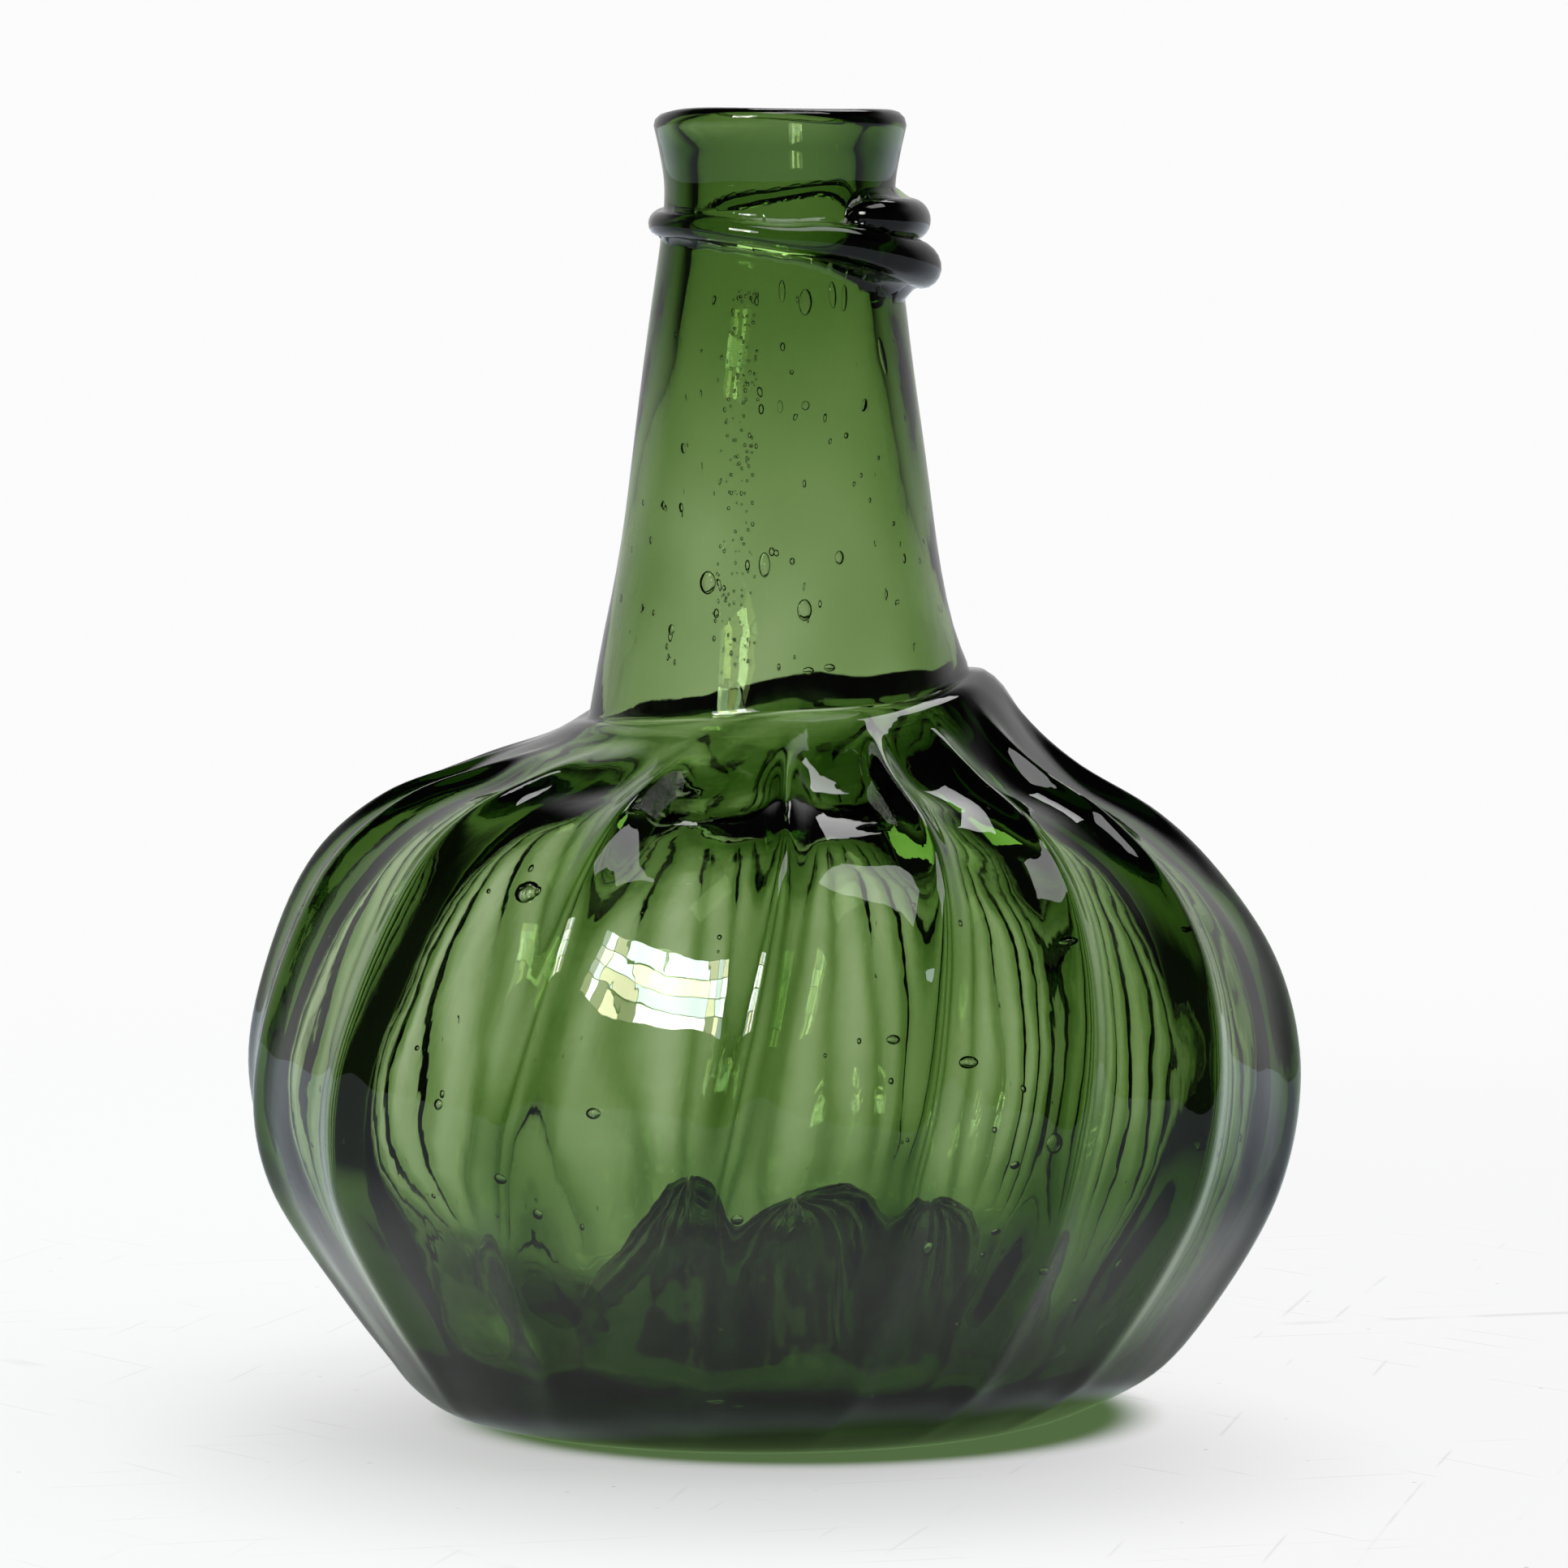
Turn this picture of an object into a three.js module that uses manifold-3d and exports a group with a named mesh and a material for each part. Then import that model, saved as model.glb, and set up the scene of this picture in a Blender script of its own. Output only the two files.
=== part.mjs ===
// A half-post bottle of green glass, in millimetres, Z up, with its front towards -Y.
// The first gather makes the neck and the whole bubble. The second gather coats the bubble
// as far up as a ledge at the foot of the neck, with swirled ribs. A string rim is trailed
// round the neck, and the pontil scar is left under the pushed-up base.

import * as THREE from 'three';
import { mergeVertices } from 'three/addons/utils/BufferGeometryUtils.js';
import Module from 'manifold-3d';

const wasm = await Module();
wasm.setup();

// Heights, from the table upwards.
const bellyHeight = 49;
const shoulderRise = 53.4;
const neckLength = 82.6;
const waistBelowLip = 11;
const kickHeight = 24;

// Outside radii.
const bellyRadius = 75.7;
const neckFootRadius = 27.2;
const waistRadius = 16.4;
const lipFlare = 1.4;
const flareHalfway = 0.45;
const restOuterRadius = 42;
const restWidth = 3.5;

// Glass thickness.
const lipWall = 3.4;
const neckWall = 4.2;
const neckFootWall = 2.7;
const bubbleWall = 1.6;
const kickWall = 2;
const coatWall = 1.4;
const coatShoulderWall = 2;
const coatKickWall = 2.2;
const contactGap = 0.3;

// The ribs of the second gather. Angles are in degrees. The ribs fade in between two
// shares of the way from the ledge to the resting ring.
const ribCount = 17;
const ribDepth = 2.9;
const ribSharpness = 4;
const ribFadeStart = 0.03;
const ribFadeEnd = 0.17;
const ribStart = -7.5;
const ribSwirl = 16;
const ribStray = 3.6;
const ribStrayPhase = 15;

// The handmade lean: the foot and the top of the shoulder stand to the left of the belly,
// the lower body and the neck to its right, the ledge climbs towards the back right, and the
// shoulder sinks there.
const footDrift = -2;
const lowerDrift = 1.3;
const shoulderDrift = -1;
const neckDrift = 0.6;
const lipDrift = 0.4;
const ledgeSlope = 0.13;
const shoulderSlope = 0.046;
const tiltDirection = 35;
const ledgeWave = 0.5;

// How far up each drift reaches, as shares of the belly's height, and where the shoulder
// sinks and drifts and how wide each band of the lean is, as shares of the shoulder's rise.
const footReach = 0.18;
const lowerReach = 0.25;
const sinkMiddle = 0.58;
const sinkReach = 0.23;
const driftMiddle = 0.83;
const driftReach = 0.14;
const ledgeReach = 0.12;

// The string rim: how far its centre line runs below the waist, and how high it climbs.
const trailDrop = 10.7;
const trailRise = 12.5;
const trailThickness = 6.9;
const trailEndShare = 0.035;
const trailEndBlunt = 0.2;
const percent = 100;

// The pontil scar.
const scarRadius = 10.5;
const scarThickness = 4.6;

// How finely the surfaces are divided.
const neckColumns = 44;
const coreRows = 28;
const boreRows = 26;
const bodyRows = 18;
const kickRows = 7;
const lipRows = 4;
const trailRows = 52;
const trailSides = 10;

const ledgeHeight = bellyHeight + shoulderRise;
const totalHeight = ledgeHeight + neckLength;
const waistHeight = totalHeight - waistBelowLip;
const lipRadius = waistRadius + lipFlare;
const restInnerRadius = restOuterRadius - restWidth;
const { degToRad, lerp, smoothstep } = THREE.MathUtils;

// A point of an outline: x is the distance from the axis and z the height.
const at = (radius, height) => new THREE.Vector3(radius, 0, height);

function smoothCurve(points, spans) {
  return new THREE.CatmullRomCurve3(points, false, 'centripetal').getPoints(spans);
}

// Moves each point of a downward outline into the glass, square to the outline there.
function inset(points, depthAt) {
  return points.map((point, i) => {
    const before = points[Math.max(i - 1, 0)];
    const after = points[Math.min(i + 1, points.length - 1)];
    const along = after.clone().sub(before).normalize();
    const depth = depthAt(i / (points.length - 1), point);
    return at(Math.max(point.x + along.z * depth, 0), point.z - along.x * depth);
  });
}

// The outline of the neck. Each pair is the share of the way down from the waist to the
// ledge and the share of the widening that is reached there.
const neckShape = [[0, 0], [0.24, 0.17], [0.55, 0.42], [0.8, 0.7], [1, 1]];
const neckOutline = [
  at(lipRadius, totalHeight - lipWall / 2),
  at(waistRadius + lipFlare * flareHalfway, totalHeight - waistBelowLip / 2),
  ...neckShape.map(([down, out]) =>
    at(lerp(waistRadius, neckFootRadius, out), lerp(waistHeight, ledgeHeight, down))),
];

// The outline over the rib crests, from the ledge to the resting ring. Above the belly the
// pairs are shares of the way out from the neck foot and of the rise to the ledge, below it
// shares of the way out from the resting ring and of the height of the belly.
const shoulderShape = [
  [0, 1], [0.165, 0.918], [0.338, 0.826], [0.575, 0.715], [0.785, 0.543], [0.931, 0.3], [1, 0],
];
const lowerShape = [[0.925, 0.694], [0.635, 0.351], [0.378, 0.137], [0.14, 0.029], [0, 0]];
const bodyOutline = [
  ...shoulderShape.map(([out, up]) =>
    at(lerp(neckFootRadius, bellyRadius, out), lerp(bellyHeight, ledgeHeight, up))),
  ...lowerShape.map(([out, up]) =>
    at(lerp(restOuterRadius, bellyRadius, out), bellyHeight * up)),
];

// The underside of the pushed-up base, a wide dome, as shares of its radius and height.
const kickShape = [[1, 0], [0.93, 0.13], [0.8, 0.34], [0.62, 0.63], [0.36, 0.92], [0, 1]];
const kickOutline = kickShape.map(([out, up]) => at(restInnerRadius * out, kickHeight * up));

// The second gather hides the first from the ledge down. The resting ring becomes one
// point of the hidden outline, so that the inside has a rounded gutter round the base.
const troughDepth = (share) =>
  ribDepth * smoothstep(share, ribFadeStart, ribFadeEnd) * Math.sqrt(Math.max(1 - share, 0));
const coatThinning = [0.1, 0.5];
const coatDepth = (share) => contactGap + troughDepth(share)
  + lerp(coatShoulderWall, coatWall, smoothstep(share, ...coatThinning));
const bodyInset = inset(bodyOutline, coatDepth);
const kickInset = inset(kickOutline, () => contactGap + coatKickWall);
const restMiddle = at(restOuterRadius - restWidth / 2, contactGap + coatKickWall);
const underLedge = at(neckFootRadius + contactGap * 4, ledgeHeight - coatShoulderWall * 2);
const coreStations = [
  ...neckOutline,
  underLedge,
  ...bodyInset.slice(2, -2),
  restMiddle,
  ...kickInset.slice(1),
];
const core = smoothCurve(coreStations, coreRows);

// The inside of the bottle follows the core at the wall thickness of each height.
const thickNeckHeight = lerp(ledgeHeight, waistHeight, 0.6);
const firstWall = (share, point) => {
  if (point.z > ledgeHeight) {
    return lerp(neckFootWall, neckWall, smoothstep(point.z, ledgeHeight, thickNeckHeight));
  }
  const thinned = lerp(bubbleWall, neckFootWall, smoothstep(point.z, bellyHeight, ledgeHeight));
  return point.x < restOuterRadius && point.z < bellyHeight ? kickWall : thinned;
};
const boreStations = inset(coreStations, firstWall);
boreStations[0] = at(lipRadius - lipWall, totalHeight - lipWall / 2);
const bore = smoothCurve(boreStations, boreRows);

// A half circle over the lip, from the inside to the outside.
const lipRound = Array.from({ length: lipRows - 1 }, (_, step) => {
  const turn = Math.PI * (1 - (step + 1) / lipRows);
  const half = lipWall / 2;
  return at(lipRadius - half + Math.cos(turn) * half, totalHeight - half + Math.sin(turn) * half);
});

// The slight lean that all pieces share.
function settle(point) {
  const towards = degToRad(tiltDirection);
  const side = point.x * Math.cos(towards) + point.y * Math.sin(towards);
  const sinkHeight = bellyHeight + shoulderRise * sinkMiddle;
  const nearLedge = Math.exp(-(((point.z - ledgeHeight) / (shoulderRise * ledgeReach)) ** 2));
  const nearShoulder = Math.exp(-(((point.z - sinkHeight) / (shoulderRise * sinkReach)) ** 2));
  const driftHeight = bellyHeight + shoulderRise * driftMiddle;
  const underNeck = Math.exp(-(((point.z - driftHeight) / (shoulderRise * driftReach)) ** 2));
  const lowerHeight = bellyHeight * lowerReach;
  const drift = footDrift * (1 - smoothstep(point.z, 0, bellyHeight * footReach))
    + lowerDrift * smoothstep(point.z, 0, lowerHeight)
      * (1 - smoothstep(point.z, lowerHeight, bellyHeight))
    + shoulderDrift * underNeck
    + lerp(neckDrift, lipDrift, smoothstep(point.z, ledgeHeight, totalHeight))
      * smoothstep(point.z, sinkHeight, ledgeHeight);
  return new THREE.Vector3(
    point.x + drift,
    point.y,
    point.z + side * (ledgeSlope * nearLedge - shoulderSlope * nearShoulder),
  );
}

const spin = (point, turn) =>
  settle(new THREE.Vector3(point.x * Math.cos(turn), point.x * Math.sin(turn), point.z));

// Skins a stack of rings, with a fan to a point at either end. The rings run down the
// outside of the piece, and each goes anticlockwise as seen from above.
function skin(first, rings, last) {
  const sides = rings[0].length;
  const points = [first, ...rings.flat(), last];
  const faces = [];
  for (let j = 0; j < sides; j += 1) {
    const next = (j + 1) % sides;
    faces.push(0, 1 + j, 1 + next);
    for (let i = 0; i < rings.length - 1; i += 1) {
      const upper = 1 + i * sides;
      const lower = upper + sides;
      faces.push(upper + j, lower + j, lower + next);
      faces.push(upper + j, lower + next, upper + next);
    }
    const base = 1 + (rings.length - 1) * sides;
    faces.push(points.length - 1, base + next, base + j);
  }
  const geometry = new THREE.BufferGeometry().setFromPoints(points);
  geometry.setIndex(faces);
  return geometry;
}

function revolve(outline, firstHeight, lastHeight) {
  const rings = outline.map((point) => Array.from({ length: neckColumns },
    (_, j) => spin(point, (j / neckColumns) * Math.PI * 2)));
  return skin(spin(at(0, firstHeight), 0), rings, spin(at(0, lastHeight), 0));
}

function toSolid(geometry) {
  const bare = geometry.clone();
  bare.deleteAttribute('normal');
  bare.deleteAttribute('uv');
  const merged = mergeVertices(bare, 1e-5);
  return new wasm.Manifold(new wasm.Mesh({
    numProp: 3,
    vertProperties: new Float32Array(merged.attributes.position.array),
    triVerts: new Uint32Array(merged.index.array),
  }));
}

function toGeometry(solid) {
  const mesh = solid.getMesh();
  const geometry = new THREE.BufferGeometry();
  geometry.setAttribute('position', new THREE.BufferAttribute(mesh.vertProperties, 3));
  geometry.setIndex(new THREE.BufferAttribute(mesh.triVerts, 1));
  return geometry;
}

// First gather: up the inside, over the rounded lip and down the outside.
const innerTop = bore.at(-1);
const outerTop = core.at(-1);
const firstGather = revolve(
  [...bore.slice(0, -1).reverse(), ...lipRound, ...core.slice(0, -1)],
  innerTop.z,
  outerTop.z,
);

// The same outside, one gap larger, cuts the seats of the pieces that lie on it.
const grownCore = inset(core, () => -contactGap);
const seat = toSolid(revolve(
  grownCore.slice(0, -1),
  totalHeight + contactGap,
  outerTop.z - contactGap,
));

// Rib directions in radians, as seen from above, for a height and a count along the ribs.
function ribTurn(count, height) {
  const even = degToRad(ribStart + (count * 360) / ribCount);
  const stray = degToRad(ribStray) * Math.cos(3 * even + degToRad(ribStrayPhase));
  const swirl = degToRad(ribSwirl) * ((height - bellyHeight) / ledgeHeight);
  return even + stray + swirl - Math.PI / 2;
}

// Columns crowd round each crest. The share is how far each lies towards the next crest.
const ribColumns = [0, 0.08, 0.19, 0.38, 0.62, 0.81, 0.92];
const crest = (share) => (0.5 + 0.5 * Math.cos(share * Math.PI * 2)) ** ribSharpness;

const body = smoothCurve(bodyOutline, bodyRows);
const bodyDeep = inset(body, troughDepth);
const kick = smoothCurve(kickOutline, kickRows);

// The ledge rises and falls slightly all round, and the row below it half as much.
const ledgeRipple = (turn) => ledgeWave * (Math.cos(3 * turn) + 0.6 * Math.cos(5 * turn + 1));
const coatRings = body.map((point, row) => {
  const ring = [];
  for (let rib = 0; rib < ribCount; rib += 1) {
    for (const share of ribColumns) {
      const place = point.clone().lerp(bodyDeep[row], 1 - crest(share));
      const turn = ribTurn(rib + share, point.z);
      place.z += ledgeRipple(turn) * Math.max(1 - row / 2, 0);
      ring.push(spin(place, turn));
    }
  }
  return ring;
});
const underRings = kick.slice(0, -1).map((point) => {
  const ring = [];
  for (let rib = 0; rib < ribCount; rib += 1) {
    for (const share of ribColumns) {
      ring.push(spin(point, ribTurn(rib + share, 0)));
    }
  }
  return ring;
});
const coat = toSolid(skin(
  spin(at(0, ledgeHeight), 0),
  [...coatRings, ...underRings],
  spin(at(0, kickHeight), 0),
));
const ribbedGather = toGeometry(coat.subtract(seat));

// String rim: [degrees right of the front, share of the climb, share of the thickness,
// share of its thickness that it stands off the neck]. It starts low on the right, goes
// round by the front, the left and the back, and laps over its own start. Its curves are
// smoothed in degrees and percent, which are of one size.
const trailStations = [
  [98, 0, 0.72, 0.3], [75, 0.02, 1, 0.42], [45, 0.13, 0.98, 0.38], [18, 0.25, 0.8, 0.2],
  [0, 0.3, 0.7, 0.14], [-45, 0.42, 0.6, 0.1], [-90, 0.51, 0.54, 0.1], [-135, 0.7, 0.54, 0.1],
  [-180, 0.92, 0.6, 0.12], [-212, 1, 0.64, 0.14], [-238, 0.84, 0.7, 0.2],
  [-260, 0.6, 0.78, 0.3], [-285, 0.52, 0.88, 0.4], [-305, 0.5, 0.9, 0.4],
  [-326, 0.52, 0.76, 0.3],
];
const trailSplit = 0.5;

// Where an outline first comes down to a level of one coordinate, gives the other one.
function readOutline(outline, known, level, wanted) {
  const after = Math.max(outline.findIndex((point) => point[known] <= level), 1);
  const low = outline[after];
  const high = outline[after - 1];
  return lerp(low[wanted], high[wanted], (level - low[known]) / (high[known] - low[known]));
}

const trailCourse = new THREE.CatmullRomCurve3(trailStations.map(([turn, climb]) =>
  new THREE.Vector3(turn, climb * percent, 0)), false, 'centripetal');
const trailSection = new THREE.CatmullRomCurve3(trailStations.map(([turn, , thick, off]) =>
  new THREE.Vector3(turn, thick * percent, off * percent)), false, 'centripetal');

// One part of the trail, between two shares of its length. Its free end is rounded.
function trail(from, to) {
  const rings = [];
  const centres = [];
  const rows = Math.round(trailRows * Math.abs(to - from));
  for (let i = 0; i <= rows; i += 1) {
    const share = lerp(from, to, i / rows);
    const course = trailCourse.getPoint(share);
    const section = trailSection.getPoint(share);
    const free = Math.min(share, 1 - share) / trailEndShare;
    const rounding = Math.sqrt(1 - (1 - Math.min(free, 1)) ** 2);
    const thickness = (section.y / percent) * trailThickness;
    const radius = (thickness / 2) * Math.max(rounding, trailEndBlunt);
    const height = waistHeight - trailDrop + (course.y / percent) * trailRise;
    const reach = readOutline(core, 'z', height, 'x') + (section.z / percent) * thickness;
    const turn = degToRad(course.x - 90);
    const ring = Array.from({ length: trailSides }, (_, j) => {
      const round = (j / trailSides) * Math.PI * 2;
      return spin(at(reach + Math.cos(round) * radius, height - Math.sin(round) * radius), turn);
    });
    rings.push(ring);
    centres.push(spin(at(reach, height), turn));
  }
  return toSolid(skin(centres[0], rings, centres.at(-1)));
}

const stringRim = toGeometry(trail(0, trailSplit).add(trail(trailSplit, 1)).subtract(seat));

// Pontil scar: an uneven ring of broken glass under the top of the pushed-up base.
const scarHeight = readOutline(kick, 'x', scarRadius, 'z') - contactGap;
const scarTorus = new THREE.TorusGeometry(scarRadius, scarThickness / 2, 6, 22);
const scarPoints = scarTorus.attributes.position;
for (let i = 0; i < scarPoints.count; i += 1) {
  const point = new THREE.Vector3().fromBufferAttribute(scarPoints, i);
  const turn = Math.atan2(point.y, point.x);
  const uneven = 1 + 0.07 * Math.cos(3 * turn + 0.4) + 0.04 * Math.cos(7 * turn);
  point.x *= uneven;
  point.y *= uneven;
  point.z = scarHeight + point.z * (0.85 + 0.3 * Math.cos(5 * turn + 1));
  const settled = settle(point);
  scarPoints.setXYZ(i, settled.x, settled.y, settled.z);
}
const grownOutside = inset([...body, ...kick], () => -contactGap);
const underSeat = toSolid(revolve(grownOutside.slice(0, -1), ledgeHeight, kickHeight - contactGap));
const pontilScar = toGeometry(toSolid(scarTorus).subtract(underSeat));

function piece(name, geometry, colour) {
  const material = new THREE.MeshStandardMaterial({ color: colour, roughness: 0.08, metalness: 0 });
  const mesh = new THREE.Mesh(geometry, material);
  mesh.name = name;
  return mesh;
}

const bottle = new THREE.Group();
bottle.name = 'glass_bottle';
bottle.add(piece('first_gather', toGeometry(toSolid(firstGather)), '#5c8a4a'));
bottle.add(piece('ribbed_gather', ribbedGather, '#6f9c58'));
bottle.add(piece('string_rim', stringRim, '#3f6a34'));
bottle.add(piece('pontil_scar', pontilScar, '#557f45'));

// The origin is the middle of the overall footprint, on the table.
const box = new THREE.Box3().setFromObject(bottle, true);
const middle = box.getCenter(new THREE.Vector3());
for (const mesh of bottle.children) {
  mesh.geometry.translate(-middle.x, -middle.y, -box.min.z);
}

export default bottle;
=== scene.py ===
import math

import bpy
import numpy as np
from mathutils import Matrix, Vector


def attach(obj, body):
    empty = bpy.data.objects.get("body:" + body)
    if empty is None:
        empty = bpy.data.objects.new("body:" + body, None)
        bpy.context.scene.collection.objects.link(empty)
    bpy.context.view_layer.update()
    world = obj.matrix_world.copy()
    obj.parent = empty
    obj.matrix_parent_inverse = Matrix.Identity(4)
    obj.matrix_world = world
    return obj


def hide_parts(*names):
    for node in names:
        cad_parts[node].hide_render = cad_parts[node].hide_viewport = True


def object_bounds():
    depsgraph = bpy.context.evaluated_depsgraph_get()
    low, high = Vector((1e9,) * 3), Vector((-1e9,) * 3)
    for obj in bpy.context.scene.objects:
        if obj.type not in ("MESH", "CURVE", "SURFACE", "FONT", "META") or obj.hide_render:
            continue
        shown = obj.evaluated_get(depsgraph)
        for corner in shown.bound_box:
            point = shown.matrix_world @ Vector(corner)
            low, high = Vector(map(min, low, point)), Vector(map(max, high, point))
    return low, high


# Looks of a ribbed half-post bottle of green glass: metres, Z up, front towards -Y.
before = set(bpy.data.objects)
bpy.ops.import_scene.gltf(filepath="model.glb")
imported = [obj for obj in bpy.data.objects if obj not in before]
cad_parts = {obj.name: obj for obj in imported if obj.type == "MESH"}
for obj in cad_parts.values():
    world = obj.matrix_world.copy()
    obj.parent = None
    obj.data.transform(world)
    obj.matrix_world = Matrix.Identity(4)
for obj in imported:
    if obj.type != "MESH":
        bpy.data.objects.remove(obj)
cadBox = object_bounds()
print("frame loaded")

# Camera of the photograph. Lengths are in metres, pixels are those of its 1932 frame.
photoCamera = {
    "distance": 0.9,
    "eyeHeight": 0.138,
    "aside": 0.00182,
    "focalPixels": 7792,
    "framePixels": 1932,
    "horizonRow": 545,
    "sensorWidth": 36,  # millimetres, as lenses are named for
    "nearest": 0.01,
    "farthest": 50,
}


def makeCamera():
    # The camera tilts down, which lifts the horizon from the middle row to its own row.
    data = bpy.data.cameras.new("photoCamera")
    data.sensor_width = photoCamera["sensorWidth"]
    data.lens = photoCamera["sensorWidth"] * photoCamera["focalPixels"] / photoCamera["framePixels"]
    data.clip_start, data.clip_end = photoCamera["nearest"], photoCamera["farthest"]
    camera = bpy.data.objects.new("photoCamera", data)
    bpy.context.scene.collection.objects.link(camera)
    camera.location = (photoCamera["aside"], -photoCamera["distance"], photoCamera["eyeHeight"])
    rows = photoCamera["framePixels"] / 2 - photoCamera["horizonRow"]
    tilt = math.atan(rows / photoCamera["focalPixels"])
    camera.rotation_euler = (math.pi / 2 - tilt, 0, 0)
    bpy.context.scene.camera = camera
    print("camera placed, tilted down by", round(math.degrees(tilt), 2), "degrees")


makeCamera()

# Sizes of the bottle in drawn millimetres. Each outline is pairs of shares: how far down the
# neck and how far out, and for the others how far out and how far up.
bottle = {
    "totalHeight": 185,
    "ledgeHeight": 102.4,
    "bellyHeight": 49,
    "bellyRadius": 75.7,
    "neckFootRadius": 27.2,
    "waistRadius": 16.4,
    "waistBelowLip": 11,
    "lipFlare": 1.4,
    "flareHalfway": 0.45,
    "lipWall": 3.4,
    "restOuterRadius": 42,
    "restWidth": 3.5,
    "kickHeight": 22.6,
    "boxShare": 0.9999,  # the most of the CAD's box that the skin fills
    "neckShape": [(0, 0), (0.24, 0.17), (0.55, 0.42), (0.8, 0.7), (1, 1)],
    "shoulderShape": [(0.165, 0.918), (0.338, 0.826), (0.575, 0.715), (0.785, 0.543),
                      (0.931, 0.3), (1, 0)],
    "lowerShape": [(0.925, 0.694), (0.635, 0.351), (0.378, 0.137), (0.14, 0.029), (0, 0)],
    "kickShape": [(1, 0), (0.93, 0.13), (0.8, 0.33), (0.61, 0.6), (0.33, 0.89), (0, 1)],
    # Places at the ledge: how far outside the neck's foot and how far above the ledge. The
    # neck's own rows start a little higher.
    "ledgeCrown": [(0.5, 0.1), (1.5, 0.1)],
    "crease": [(0.1, 0.15), (-0.25, 0.8)],
    "neckStart": 1.6,
}

# Thickness of the glass in drawn millimetres. The neck's goes by height. The body's goes
# from ledge to belly over a span of its outline, and to the foot's over a span of heights.
walls = {
    "neckHeights": (100, 112, 130, 148, 165, 178),
    "neck": (2.7, 2.7, 2.8, 4.1, 4.7, 5.2),
    "ledge": 4.4,
    "belly": 2.2,
    "foot": 4.8,
    "kick": 5.2,
    "thinning": (0.15, 0.36),
    "footHeights": (12, 42),
    "underLedge": (1.2, 4.2),  # where the neck's inside ends: outside its foot, below the ledge
    "gutter": 8,  # height of the inside over the resting ring
    "thinSide": 0.9,  # the right side is thicker by this, and the left side thinner
}

# The lean of the whole bottle: drifts to the right in drawn millimetres, slopes, and
# where each of them is felt, in shares of the lower body's or the shoulder's height.
lean = {
    "footDrift": -2,
    "footReach": 0.18,
    "lowerDrift": 1.3,
    "lowerReach": 0.25,
    "shoulderDrift": -1,
    "driftMiddle": 0.83,
    "driftReach": 0.14,
    "neckDrift": 0.6,
    "lipDrift": 0.4,
    "ledgeSlope": 0.13,
    "ledgeReach": 0.12,
    "shoulderSlope": 0.046,
    "sinkMiddle": 0.58,
    "sinkReach": 0.23,
    "towards": 35,  # degrees from the right to the back
}

# Ribs: depths and heights in drawn millimetres, angles in degrees, fades in shares of the
# body's outline, from the ledge down or from the foot up.
ribs = {
    "count": 17,
    "columns": 22,  # of the mesh, from one rib to the next
    "crowding": 0.7,
    "depth": 2.8,
    "sharpness": 6,
    "flat": 0.47,  # how much of the flat panel's form is mixed in
    "crestRound": 0.03,
    "fade": (0.03, 0.17),
    "footFade": 0.2,
    "start": -7.5,
    "swirl": 16,
    "stray": 3.6,
    "strayTimes": 3,
    "strayPhase": 15,
    "inner": 0.95,  # how far the inside swells behind each rib
    "innerSharpness": 1.5,
    "innerFoot": (7, 24),  # heights over which the swelling comes in
    "innerTop": (74, 92),  # and those over which it goes
}


def smoothstep(x, low, high):
    # Climbs from 0 at low to 1 at high, and is level at both.
    t = np.clip((x - low) / (high - low), 0, 1)
    return t * t * (3 - 2 * t)


def mix(a, b, share):
    # The value that lies a share of the way from a to b.
    return a + (b - a) * share


def hill(x, middle, reach):
    # A bell curve, 1 at the middle and about a third at the reach.
    return np.exp(-(((x - middle) / reach) ** 2))


def ridge(between, sharpness):
    # 1 at each rib and 0 half way to the next: a raised cosine to a power.
    return (0.5 + 0.5 * np.cos(2 * math.pi * between)) ** sharpness


def roundWaves(turn, parts):
    # A sum of cosines round the bottle. Each part is its times round, height and phase.
    return sum(high * np.cos(times * turn + phase) for times, high, phase in parts)


def smoothCurve(stations, samples=3000):
    # Catmull-Rom curve through the stations, with knots a root of each chord apart.
    points = np.array(stations, float)
    points = np.vstack([2 * points[0] - points[1], points, 2 * points[-1] - points[-2]])
    root = np.linalg.norm(np.diff(points, axis=0), axis=1) ** 0.5
    along = np.linspace(0, len(stations) - 1, samples)
    i = np.minimum(along.astype(int), len(stations) - 2)
    t = (along - i)[:, None]
    a, b, c, d = points[i], points[i + 1], points[i + 2], points[i + 3]
    ab, bc, cd = root[i][:, None], root[i + 1][:, None], root[i + 2][:, None]
    leave = ((b - a) / ab - (c - a) / (ab + bc) + (c - b) / bc) * bc
    arrive = ((c - b) / bc - (d - b) / (bc + cd) + (d - c) / cd) * bc
    return (b * (2 * t**3 - 3 * t**2 + 1) + leave * (t**3 - 2 * t**2 + t)
            + c * (3 * t**2 - 2 * t**3) + arrive * (t**3 - t**2))


def evenly(line, count, weight=None):
    # Count points along a line, spaced evenly, or closer where the weight is larger.
    steps = np.linalg.norm(np.diff(line, axis=0), axis=1)
    if weight is not None:
        steps = steps * (weight[1:] + weight[:-1]) / 2
    run = np.concatenate([[0], np.cumsum(steps)])
    at = np.linspace(0, run[-1], count)
    return np.column_stack([np.interp(at, run, line[:, k]) for k in range(line.shape[1])])


def squareTo(line):
    # Direction square to a line at each point: from the point before to the point after,
    # turned to the right. A line that runs up gives outwards, one that runs down inwards.
    along = np.vstack([line[1:], line[-1:]]) - np.vstack([line[:1], line[:-1]])
    along /= np.linalg.norm(along, axis=1)[:, None]
    return np.column_stack([along[:, 1], -along[:, 0]])


def inset(points, depth):
    # Moves an outline that runs downwards square to itself, into the glass by the depth.
    points = np.asarray(points, float)
    moved = points + squareTo(points) * np.broadcast_to(depth, len(points))[:, None]
    moved[:, 0] = np.maximum(moved[:, 0], 0)
    return moved


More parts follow.
